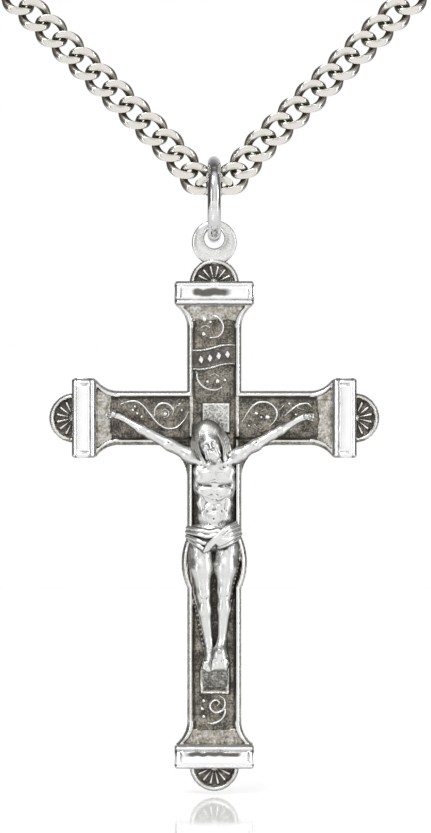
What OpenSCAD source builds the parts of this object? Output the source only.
// Crucifix pendant on a curb chain.
// Millimetres. +Z is up, the face of the cross looks along -Y, +X is to the right
// of someone facing it. The origin is the crossing's centre on the flat back face.

/* [Cross] */
// Width of the upright and of the cross-arm
bar_w = 4.84; // [4.5:0.02:5.2]
// Distance from the crossing's centre to the outer edge of the top collar
top_reach = 12.2; // [11.8:0.1:12.6]
// Distance from the crossing's centre to the outer edge of a side collar
side_reach = 12.7; // [12.3:0.1:13.2]
// Distance from the crossing's centre to the outer edge of the bottom collar
foot_reach = 31.3; // [30.8:0.1:32]
// Depth from the back face to the front of the rim
rim_depth = 1.5; // [1.4:0.05:1.7]
// Depth from the back face to the sunk field
field_depth = 1.05; // [0.9:0.05:1.15]
// Width of the raised rim
rim_w = 0.5; // [0.4:0.05:0.6]

/* [Collars and lobes] */
// Width of a collar bar, along its arm
collar_w = 2.15; // [1.9:0.05:2.3]
// Length of a collar bar, across its arm
collar_len = 7.1; // [6.8:0.1:7.4]
// Height of a collar bar above the rim
collar_h = 0.45; // [0.3:0.05:0.6]
// Length of the flare between an arm and its collar
flare_len = 2.0; // [1.7:0.1:2.3]
// Radius of the half-round lobe beyond a collar
lobe_r = 2.2; // [2:0.05:2.3]
// Number of rays in a lobe
rays = 7; // [5:1:9]

/* [Hanging eye and ring] */
// Radius of the eye's disc
eye_r = 2.0; // [1.9:0.05:2.1]
// Radius of the eye's hole
eye_hole_r = 0.9; // [0.85:0.01:0.95]
// Wire diameter of the jump ring
ring_wire = 1.2; // [1.1:0.02:1.24]
// Radius of the jump ring to the middle of its wire
ring_r = 3.32; // [3.25:0.01:3.4]

/* [Chain] */
// Wire diameter of a curb link
link_wire = 0.64; // [0.56:0.01:0.65]
// Half the length of a link, to the middle of its wire
link_a = 1.42; // [1.41:0.005:1.43]
// Half the width of a link, to the middle of its wire
link_b = 1.06; // [1.05:0.005:1.07]
// Distance from one link to the next
link_pitch = 2.09; // [2.07:0.01:2.1]
// Angle of each strand above the horizontal
strand_angle = 44.3; // [44:0.1:44.6]
// Number of links in each strand
strand_links = 13; // [13:1:13]
// Half the thickness of the chain between its ground flats
flat_half = 0.5; // [0.46:0.01:0.6]

/* [Clasp] */
// Radius of the spring-ring clasp to the middle of its tube
clasp_r = 3.0; // [2.9:0.1:3.2]
// Outer radius of the clasp's tube
clasp_tube_r = 0.78; // [0.75:0.01:0.8]
// Angle left open by the case, which the slider closes
clasp_gap = 56; // [50:1:60]

/* [Hidden] */

$fn = 48;
eps = 0.01;
silver = [0.80, 0.80, 0.79];
bright = [0.93, 0.93, 0.92];
dark = [0.33, 0.33, 0.32];

half_w = bar_w / 2;
collar_half = collar_len / 2 - 0.1;
mid_depth = rim_depth / 2;
pin_gap = 0.1;
hang_gap = 0.05;

// Height of the middle of the jump ring's lowest wire, which the pendant swings on
ring_low_z = 16.26;
ring_z = ring_low_z + ring_r;
eye_hole_z = ring_low_z + ring_wire / 2 + pin_gap - eye_hole_r;
eye_z = top_reach + 3.5;
// Height of the middle of the wire that the jump ring hangs on
ring_rest_z = ring_low_z + 2 * ring_r - ring_wire / 2 - hang_gap - link_wire / 2;

// ---------------------------------------------------------------- helpers

// A flat outline drawn in X and Z, filling depths d0 to d1 in front of the back face
module slab(d0, d1) {
    rotate([90, 0, 0])
        translate([0, 0, d0])
            linear_extrude(d1 - d0)
                children();
}

// Turns an outline drawn with its arm running up, to the arm named by its angle
module on_arm(turn) {
    rotate(turn) children();
}

// The same for a solid
module solid_on_arm(turn) {
    rotate([0, -turn, 0]) children();
}

// Reach of the arm that a turn points to: up, left, down, right
function reach(turn) = turn == 0 ? top_reach : turn == 180 ? foot_reach : side_reach;

// ---------------------------------------------------------------- the cross

// One side of the hollow curve between an arm and its collar
function flare_side(u0, v0, rise, len) =
    let (r = (rise * rise + len * len) / (2 * rise), sweep = asin(len / r))
    [for (i = [0:8]) [v0 + r - r * cos(sweep * i / 8), u0 + r * sin(sweep * i / 8)]];

module flare_outline(u_end, inset) {
    v0 = half_w - inset;
    pts = flare_side(u_end - flare_len, v0, collar_half - half_w, flare_len);
    polygon(concat(pts, [for (i = [8:-1:0]) [-pts[i][0], pts[i][1]]]));
}

// Bar, flare, collar seat and half-round lobe of one arm, running up from the crossing
module arm_outline(length) {
    translate([-half_w, 0]) square([bar_w, length - collar_w]);
    flare_outline(length - collar_w, 0);
    translate([-collar_half, length - collar_w - eps])
        square([2 * collar_half, collar_w + eps]);
    translate([0, length - 0.15]) circle(lobe_r);
}

// The upright swells a little beside the figure's hips
hip_z = -12.9;
hip_out = 0.5;
hip_half = 2.3;
module hip_outline() {
    r = (hip_out * hip_out + hip_half * hip_half) / (2 * hip_out);
    for (m = [0, 1])
        mirror([m, 0])
            intersection() {
                translate([half_w + hip_out - r, hip_z]) circle(r, $fn = 96);
                translate([0, hip_z - hip_half]) square([half_w + hip_out, 2 * hip_half]);
            }
}

// Low webs that fill the two corners under the cross-arm
web = 3;
module web_outline() {
    for (m = [0, 1])
        mirror([m, 0])
            difference() {
                translate([half_w - eps, -half_w - web]) square([web + eps, web + eps]);
                translate([half_w + web, -half_w - web]) circle(web);
            }
}

module field_outline() {
    for (turn = [0, 90, 180, 270])
        on_arm(turn) {
            length = reach(turn) - collar_w;
            translate([-half_w + rim_w, 0])
                square([bar_w - 2 * rim_w, length - flare_len]);
            intersection() {
                flare_outline(length, rim_w);
                translate([-collar_half, 0]) square([2 * collar_half, length - 0.35]);
            }
        }
}

lobe_rim = 0.42;
lobe_floor = rim_depth - 0.45;
module cross_body() color(silver) {
    difference() {
        slab(0, rim_depth)
            union() {
                for (turn = [0, 90, 180, 270])
                    on_arm(turn) arm_outline(reach(turn));
                hip_outline();
            }
        slab(field_depth, rim_depth + 1) field_outline();
        for (turn = [0, 90, 180, 270])
            slab(lobe_floor, rim_depth + 1)
                on_arm(turn)
                    intersection() {
                        translate([0, reach(turn) - 0.15]) circle(lobe_r - lobe_rim);
                        translate([-lobe_r, reach(turn)]) square([2 * lobe_r, lobe_r]);
                    }
    }
    slab(0, field_depth - 0.2) web_outline();
}

// Flat tab with the hole that the jump ring passes through
eye_back = 0.25;
eye_front = 1.25;
module hanging_eye() color(silver) {
    difference() {
        slab(eye_back, eye_front)
            difference() {
                translate([0, eye_z]) circle(eye_r);
                translate([0, top_reach - 0.15]) circle(lobe_r);
            }
        translate([0, 0, eye_hole_z])
            rotate([90, 0, 0]) cylinder(r = eye_hole_r, h = 4, center = true);
    }
}

// Raised plaque behind the head
panel_w = 2.7;
panel_low = -1.45;
panel_high = 1.45;
module crossing_panel() color(dark) {
    slab(field_depth, rim_depth - 0.05)
        translate([-panel_w / 2 + 0.15, panel_low])
            square([panel_w, panel_high - panel_low]);
}

// Slanting ribbon with a row of small lozenges
banner_z = 5.45;
banner_h = 2.0;
banner_tilt = 6;
module title_banner() color(silver) {
    slab(field_depth, field_depth + 0.2)
        translate([0, banner_z]) rotate(banner_tilt)
            square([bar_w - 2 * rim_w - 0.3, banner_h], center = true);
    for (edge = [-1, 1])
        slab(field_depth + 0.2, field_depth + 0.4)
            translate([0, banner_z]) rotate(banner_tilt)
                translate([0, edge * (banner_h / 2 - 0.14)])
                    square([bar_w - 2 * rim_w - 0.3, 0.22], center = true);
    for (i = [-1.5:1:1.5])
        slab(field_depth + 0.2, field_depth + 0.4)
            translate([0, banner_z]) rotate(banner_tilt)
                translate([i * 0.8, 0]) rotate(45) square(0.42, center = true);
}

// Ledge under the feet, with bevelled front edges
block_w = 2.7;
block_high = -22.3;
block_h = 2.2;
module foot_block() color(dark) {
    translate([-block_w / 2, -field_depth, block_high])
        rotate([0, 90, 0])
            linear_extrude(block_w)
                polygon([[0, 0], [0, -1.0], [0.35, -1.35], [block_h - 0.5, -0.9], [block_h, -0.3],
                         [block_h, 0]]);
}

// Profile of a collar bar: two bright lands beside a shallow groove
module collar(turn) color(bright) {
    w = collar_w;
    h = collar_h;
    solid_on_arm(turn)
        translate([-collar_len / 2, -rim_depth, reach(turn) - w])
            rotate([90, 0, 90])
                linear_extrude(collar_len)
                    polygon([[0, 0], [-h + 0.15, 0], [-h, 0.22], [-h, 0.38 * w], [-h + 0.2, 0.46 * w],
                             [-h + 0.2, 0.56 * w], [-h, 0.64 * w], [-h, w - 0.3], [-h + 0.25, w],
                             [0, w]]);
}

// Rays and hub in the sunk half-disc of a lobe
module rosette(turn) color(silver) {
    slab(lobe_floor, rim_depth - 0.1)
        on_arm(turn)
            intersection() {
                translate([0, reach(turn) - 0.15])
                    for (i = [0:rays - 1])
                        rotate(90 - 180 * (i + 0.5) / rays)
                            translate([-0.11, 0.35])
                                    square([0.22, lobe_r - lobe_rim - 0.5]);
                translate([-lobe_r, reach(turn) + 0.05]) square([2 * lobe_r, lobe_r]);
            }
    slab(lobe_floor, rim_depth)
        on_arm(turn)
            intersection() {
                translate([0, reach(turn) - 0.15]) circle(0.5);
                translate([-lobe_r, reach(turn) + eps]) square([2 * lobe_r, lobe_r]);
            }
}

// ---------------------------------------------------------------- scrollwork

vine_w = 0.24;
vine_h = 0.28;
CURVE_STEPS = 5;

// A point of the smooth curve through p1 and p2, with p0 before them and p3 after
function spline(p0, p1, p2, p3, t) =
    0.5 * (2 * p1 + (p2 - p0) * t + (2 * p0 - 5 * p1 + 4 * p2 - p3) * t * t
           + (3 * p1 - p0 - 3 * p2 + p3) * t * t * t);

// A smooth curve through hand-placed points
function curve_through(p) =
    let (n = len(p), q = concat([2 * p[0] - p[1]], p, [2 * p[n - 1] - p[n - 2]]))
    concat([for (k = [0:n - 2], i = [0:CURVE_STEPS - 1])
                spline(q[k], q[k + 1], q[k + 2], q[k + 3], i / CURVE_STEPS)],
           [p[n - 1]]);

// A raised line of even width along a curve, tapering at both ends
module tendril(points, width) {
    c = curve_through(points);
    last = len(c) - 1;
    normal = [for (i = [0:last])
        let (d = c[min(i + 1, last)] - c[max(i - 1, 0)]) [-d[1], d[0]] / norm(d)];
    half = [for (i = [0:last]) width / 2 * min(1, 0.35 + 0.25 * min(i, last - i))];
    polygon(concat([for (i = [0:last]) c[i] + half[i] * normal[i]],
                   [for (i = [last:-1:0]) c[i] - half[i] * normal[i]]));
}

module bead(x, z, r) {
    translate([x, z]) circle(r, $fn = 24);
}

module scroll_left() color(silver) {
    slab(field_depth, field_depth + vine_h) {
        tendril([[-8.4, 1.22], [-7.8, 1.45], [-7.0, 1.5], [-6.4, 1.15], [-5.9, 0.55], [-5.4, -0.1],
                 [-4.9, -0.6], [-4.2, -0.95], [-3.4, -0.85], [-2.7, -0.2], [-2.3, 0.6]], vine_w);
        tendril([[-5.35, 0.15], [-5.25, 0.9], [-4.75, 1.3], [-4.1, 1.25], [-3.65, 0.75],
                 [-3.75, 0.3]], vine_w);
        bead(-4.4, 0.35, 0.35);
        bead(-7.3, 0.7, 0.16);
        bead(-6.9, 0.4, 0.15);
        bead(-6.5, 0.1, 0.14);
    }
}

module scroll_right() color(silver) {
    slab(field_depth, field_depth + vine_h) {
        tendril([[2.45, -0.4], [2.9, 0.35], [3.4, 1.05], [4.1, 1.42], [4.9, 1.35], [5.45, 0.85],
                 [5.6, 0.2], [5.3, -0.4], [4.9, -0.75]], vine_w);
        tendril([[6.3, 0.2], [6.9, 0.75], [7.6, 1.2], [8.3, 1.3], [8.7, 1.0]], vine_w);
        bead(3.75, 0.4, 0.2);
        bead(4.75, 0.05, 0.26);
        bead(6.7, 1.3, 0.15);
        bead(3.1, -0.7, 0.13);
    }
}

// Small crescents and beads above and below the banner
module scroll_top() color(silver) {
    slab(field_depth, field_depth + vine_h) {
        tendril([[-0.3, 9.2], [0.35, 9.0], [0.75, 8.4], [0.75, 7.8], [0.35, 7.3], [-0.4, 7.15]],
                vine_w);
        tendril([[-1.55, 4.1], [-1.5, 3.5], [-1.15, 2.95], [-0.6, 2.6], [0.1, 2.5], [0.7, 2.75]],
                vine_w);
        bead(-0.9, 8.85, 0.25);
        bead(-0.95, 7.5, 0.22);
        bead(0.3, 3.3, 0.22);
        bead(0.95, 3.4, 0.16);
    }
}

// A curl and three beads below the feet
module scroll_foot() color(silver) {
    slab(field_depth, field_depth + vine_h) {
        tendril([[0.15, -25.2], [-0.3, -25.45], [-0.35, -25.95], [0.05, -26.3], [0.6, -26.2],
                 [0.95, -25.7], [0.85, -25.1], [0.4, -24.85]], vine_w);
        tendril([[0.98, -26.35], [0.85, -26.7], [0.5, -27.0], [-0.1, -27.3], [-0.6, -27.25]],
                vine_w);
        bead(0.25, -25.7, 0.16);
        bead(-0.95, -25.3, 0.17);
        bead(-1.1, -26.0, 0.18);
        bead(-0.95, -26.7, 0.17);
    }
}

// ---------------------------------------------------------------- the figure

// Limb or muscle between two points [x, depth, z] with their radii
module limb(p, rp, q, rq) {
    hull() {
        translate([p[0], -p[1], p[2]]) sphere(rp, $fn = 14);
        translate([q[0], -q[1], q[2]]) sphere(rq, $fn = 14);
    }
}

module chain_of(pts, radii) {
    for (i = [0:len(pts) - 2])
        limb(pts[i], radii[i], pts[i + 1], radii[i + 1]);
}

hand_l = [-9.0, 1.75, 0.35];
hand_r = [8.2, 1.75, 0.15];
elbow_l = [-5.7, 2.1, -1.45];
elbow_r = [5.2, 2.1, -1.5];
shoulder_l = [-2.1, 2.25, -3.35];
shoulder_r = [2.1, 2.25, -3.3];
module figure_arm(shoulder, elbow, hand) {
    side = sign(hand[0]);
    chain_of([shoulder, elbow, hand], [0.72, 0.47, 0.36]);
    limb(hand, 0.36, hand + [0.5 * side, 0.15, 0.1], 0.3);
}

module figure_trunk() {
    limb([-0.9, 2.15, -5.0], 1.15, [0.9, 2.15, -5.0], 1.15);
    limb([-0.75, 2.2, -5.3], 1.1, [-0.4, 2.0, -8.9], 1.05);
    limb([0.85, 2.2, -5.3], 1.1, [0.5, 2.0, -8.9], 1.05);
    limb([0.0, 2.3, -4.2], 0.8, [-0.2, 2.6, -3.2], 0.7);
}

module figure_head() {
    limb([-0.5, 2.75, -1.6], 1.2, [-0.3, 3.1, -2.6], 0.95);
    limb([-0.25, 3.6, -3.0], 0.55, [-0.2, 3.5, -3.3], 0.5);
    limb([-1.5, 2.6, -1.9], 0.5, [-1.3, 2.7, -4.0], 0.4);
    limb([0.6, 2.6, -1.7], 0.5, [1.0, 2.6, -3.7], 0.4);
}

module figure_cloth() {
    limb([-1.3, 2.1, -10.0], 1.0, [1.2, 2.1, -10.0], 1.0);
    limb([-1.3, 2.2, -10.5], 0.95, [-0.5, 2.6, -11.3], 0.8);
    limb([1.4, 2.2, -9.9], 0.9, [0.2, 2.6, -11.0], 0.85);
}

module figure_legs() {
    chain_of([[-1.2, 1.9, -11.6], [-0.92, 2.35, -15.6], [-0.5, 1.85, -19.9], [-0.4, 2.2, -22.1]],
             [1.05, 0.65, 0.4, 0.5]);
    chain_of([[1.1, 1.95, -11.6], [0.86, 2.45, -15.4], [0.68, 2.0, -19.7], [0.45, 2.6, -22.1]],
             [1.05, 0.65, 0.4, 0.55]);
}

module corpus() color(bright) {
    figure_trunk();
    figure_head();
    figure_cloth();
    figure_legs();
    figure_arm(shoulder_l, elbow_l, hand_l);
    figure_arm(shoulder_r, elbow_r, hand_r);
}

// Nail with a domed head; its shank ends just inside the cross
module nail(at) color(bright) {
    shank = at[1] - field_depth + 0.15;
    translate([at[0], -at[1], at[2]])
        rotate([90, 0, 0]) {
            translate([0, 0, -shank]) cylinder(r = 0.14, h = shank + 0.35);
            translate([0, 0, 0.3]) cylinder(r = 0.3, h = 0.14);
            translate([0, 0, 0.44]) cylinder(r1 = 0.3, r2 = 0.16, h = 0.1);
        }
}

module nail_left() nail(hand_l);
module nail_right() nail(hand_r);
module nail_feet() nail([0.45, 2.6, -20.7]);

// ---------------------------------------------------------------- ring and chain

module jump_ring() color(silver) {
    translate([0, -mid_depth, ring_z])
        rotate([0, 90, 0])
            rotate_extrude($fn = 96)
                translate([ring_r, 0]) circle(ring_wire / 2, $fn = 32);
}

LINK_SIDES = 8;
LINK_RINGS = 22;

// Middle of the wire of a strand link: an oval whose two ends are twisted opposite ways.
// Its parts are the place along the link, across it, and out of its plane.
function strand_curve(t) =
    let (s = link_a * cos(t), w = link_b * sin(t), lean = -45 * s / link_a)
    [s, w * cos(lean), w * sin(lean)];

// Middle of the wire of the centre link: both of its ends lean the same way
centre_lean = 58.7;
centre_ease = 0.46;
function centre_curve(t) =
    let (s = link_a * cos(t), w = link_b * sin(t),
         q = min(1, abs(s) / (centre_ease * link_a)), lean = centre_lean * q * q * (3 - 2 * q))
    [s, w * cos(lean), w * sin(lean)];

function link_curve(kind, t) = kind == "centre" ? centre_curve(t) : strand_curve(t);

function unit(v) = v / norm(v);

// Rolls a point of a link about the link's long axis
function rolled(p, roll) =
    [p[0], p[1] * cos(roll) - p[2] * sin(roll), p[1] * sin(roll) + p[2] * cos(roll)];

// From a link's own directions to the row's, with the front and back ground flat
function placed(p, at, turn) =
    [at[0] + p[0] * cos(turn) + p[1] * sin(turn),
     -mid_depth - max(-flat_half, min(flat_half, p[2])),
     at[1] - p[0] * sin(turn) + p[1] * cos(turn)];

module curb_link(kind, at, turn, roll) color(silver) {
    step = 360 / LINK_RINGS;
    points = [
        for (i = [0:LINK_RINGS - 1])
            let (t = i * step,
                 c = link_curve(kind, t),
                 along = unit(link_curve(kind, t + 3) - link_curve(kind, t - 3)),
                 out = unit(c - (c * along) * along),
                 up = cross(along, out))
            for (j = [0:LINK_SIDES - 1])
                let (a = 360 * (j + 0.5) / LINK_SIDES,
                     p = c + link_wire / 2 * (cos(a) * out + sin(a) * up))
                placed(rolled(p, roll), at, turn)
    ];
    faces = [
        for (i = [0:LINK_RINGS - 1], j = [0:LINK_SIDES - 1])
            let (i2 = (i + 1) % LINK_RINGS, j2 = (j + 1) % LINK_SIDES,
                 a = i * LINK_SIDES + j, b = i2 * LINK_SIDES + j,
                 c = i2 * LINK_SIDES + j2, d = i * LINK_SIDES + j2)
            each [[a, b, c], [a, c, d]]
    ];
    polyhedron(points, faces, convexity = 6);
}

// The first links of a strand bend round the centre link; the rest lie in line
centre_z = ring_rest_z - link_b;
first_at = [-1.583, centre_z + 0.527];
second_at = [-2.819, centre_z + 1.992];
third_at = [-4.136, centre_z + 3.515];
first_turn = 41.2;
second_turn = 48.4;
first_roll = -4.44;
second_roll = -4.05;
function strand_at(k) =
    k == 1 ? first_at :
    k == 2 ? second_at :
    third_at + (k - 3) * link_pitch * [-cos(strand_angle), sin(strand_angle)];

module strand_link(k) {
    turn = k == 1 ? first_turn : k == 2 ? second_turn : strand_angle;
    roll = k == 1 ? first_roll : k == 2 ? second_roll : 0;
    curb_link("strand", strand_at(k), turn, roll);
}

module link_centre() curb_link("centre", [0, centre_z], 0, 0);

// ---------------------------------------------------------------- ends of the chain

// A closed ring ends the left strand; the clasp's eye is the same ring on the right
end_ring_r = 1.7;
end_ring_wire = 0.8;
end_ring_axis = 34.5;
end_ring_front = 0.85;
end_centre = strand_at(strand_links) + [-1.19, 1.61];
// Direction from a strand's last link through the middle of its ring
outward = [-sin(end_ring_axis), cos(end_ring_axis)];

module closing_ring() color(silver) {
    translate([end_centre[0], -end_ring_front, end_centre[1]])
        rotate([0, 90 - end_ring_axis, 0])
            rotate_extrude($fn = 64)
                translate([end_ring_r, 0]) circle(end_ring_wire / 2, $fn = 24);
}

module end_ring() closing_ring();
module clasp_eye() mirror([1, 0, 0]) closing_ring();

// The clasp is a hollow ring with a gap, and a curved slider that closes the gap.
// Its angles count from the middle of the gap, which is on the side away from the eye.
clasp_bore_r = 0.5;
slider_r = 0.45;
slider_tip = 7;
slider_tail = 75;
slider_travel = 58;
tab_at = 22;
tab_r = 0.2;
tab_reach = 0.75;
slot_spare = 8;
clasp_step = end_ring_r + end_ring_wire / 2 + clasp_tube_r + clasp_r - 0.25;
clasp_at = [-end_centre[0] - clasp_step * outward[0], end_centre[1] + clasp_step * outward[1]];

// Puts a ring that is drawn round Z at the clasp, with its gap turned outward
module at_clasp() {
    translate([clasp_at[0], -end_ring_front, clasp_at[1]])
        rotate([90, 0, 0])
            rotate(90 - end_ring_axis)
                children();
}

module clasp_case() color(silver) {
    at_clasp()
        difference() {
            rotate(clasp_gap / 2)
                rotate_extrude(angle = 360 - clasp_gap, $fn = 96)
                    translate([clasp_r, 0])
                        difference() {
                            circle(clasp_tube_r, $fn = 32);
                            circle(clasp_bore_r, $fn = 32);
                        }
            rotate(clasp_gap / 2 + tab_at - slot_spare)
                rotate_extrude(angle = slider_travel + 2 * slot_spare, $fn = 96)
                    translate([clasp_r, -tab_r - 0.1])
                        square([2, 2 * tab_r + 0.2]);
        }
}

module clasp_slider() color(bright) {
    at_clasp() {
        rotate(-clasp_gap / 2 - slider_tip)
            rotate_extrude(angle = clasp_gap + slider_tip + slider_tail, $fn = 96)
                translate([clasp_r, 0]) circle(slider_r, $fn = 32);
        rotate(clasp_gap / 2 + tab_at)
            translate([clasp_r, 0, 0])
                rotate([0, 90, 0]) cylinder(r = tab_r, h = clasp_tube_r + tab_reach, $fn = 24);
    }
}

// ---------------------------------------------------------------- nodes

cross_body();
hanging_eye();
crossing_panel();
title_banner();
foot_block();
collar(0);  // collar_top
collar(90);  // collar_left
collar(180);  // collar_bottom
collar(270);  // collar_right
rosette(0);  // rosette_top
rosette(90);  // rosette_left
rosette(180);  // rosette_bottom
rosette(270);  // rosette_right
scroll_top();
scroll_foot();
scroll_left();
scroll_right();
corpus();
nail_left();
nail_right();
nail_feet();
jump_ring();
link_centre();
for (k = [1:13]) {
    strand_link(k);
    mirror([1, 0, 0]) strand_link(k);
}
end_ring();
clasp_case();
clasp_eye();
clasp_slider();
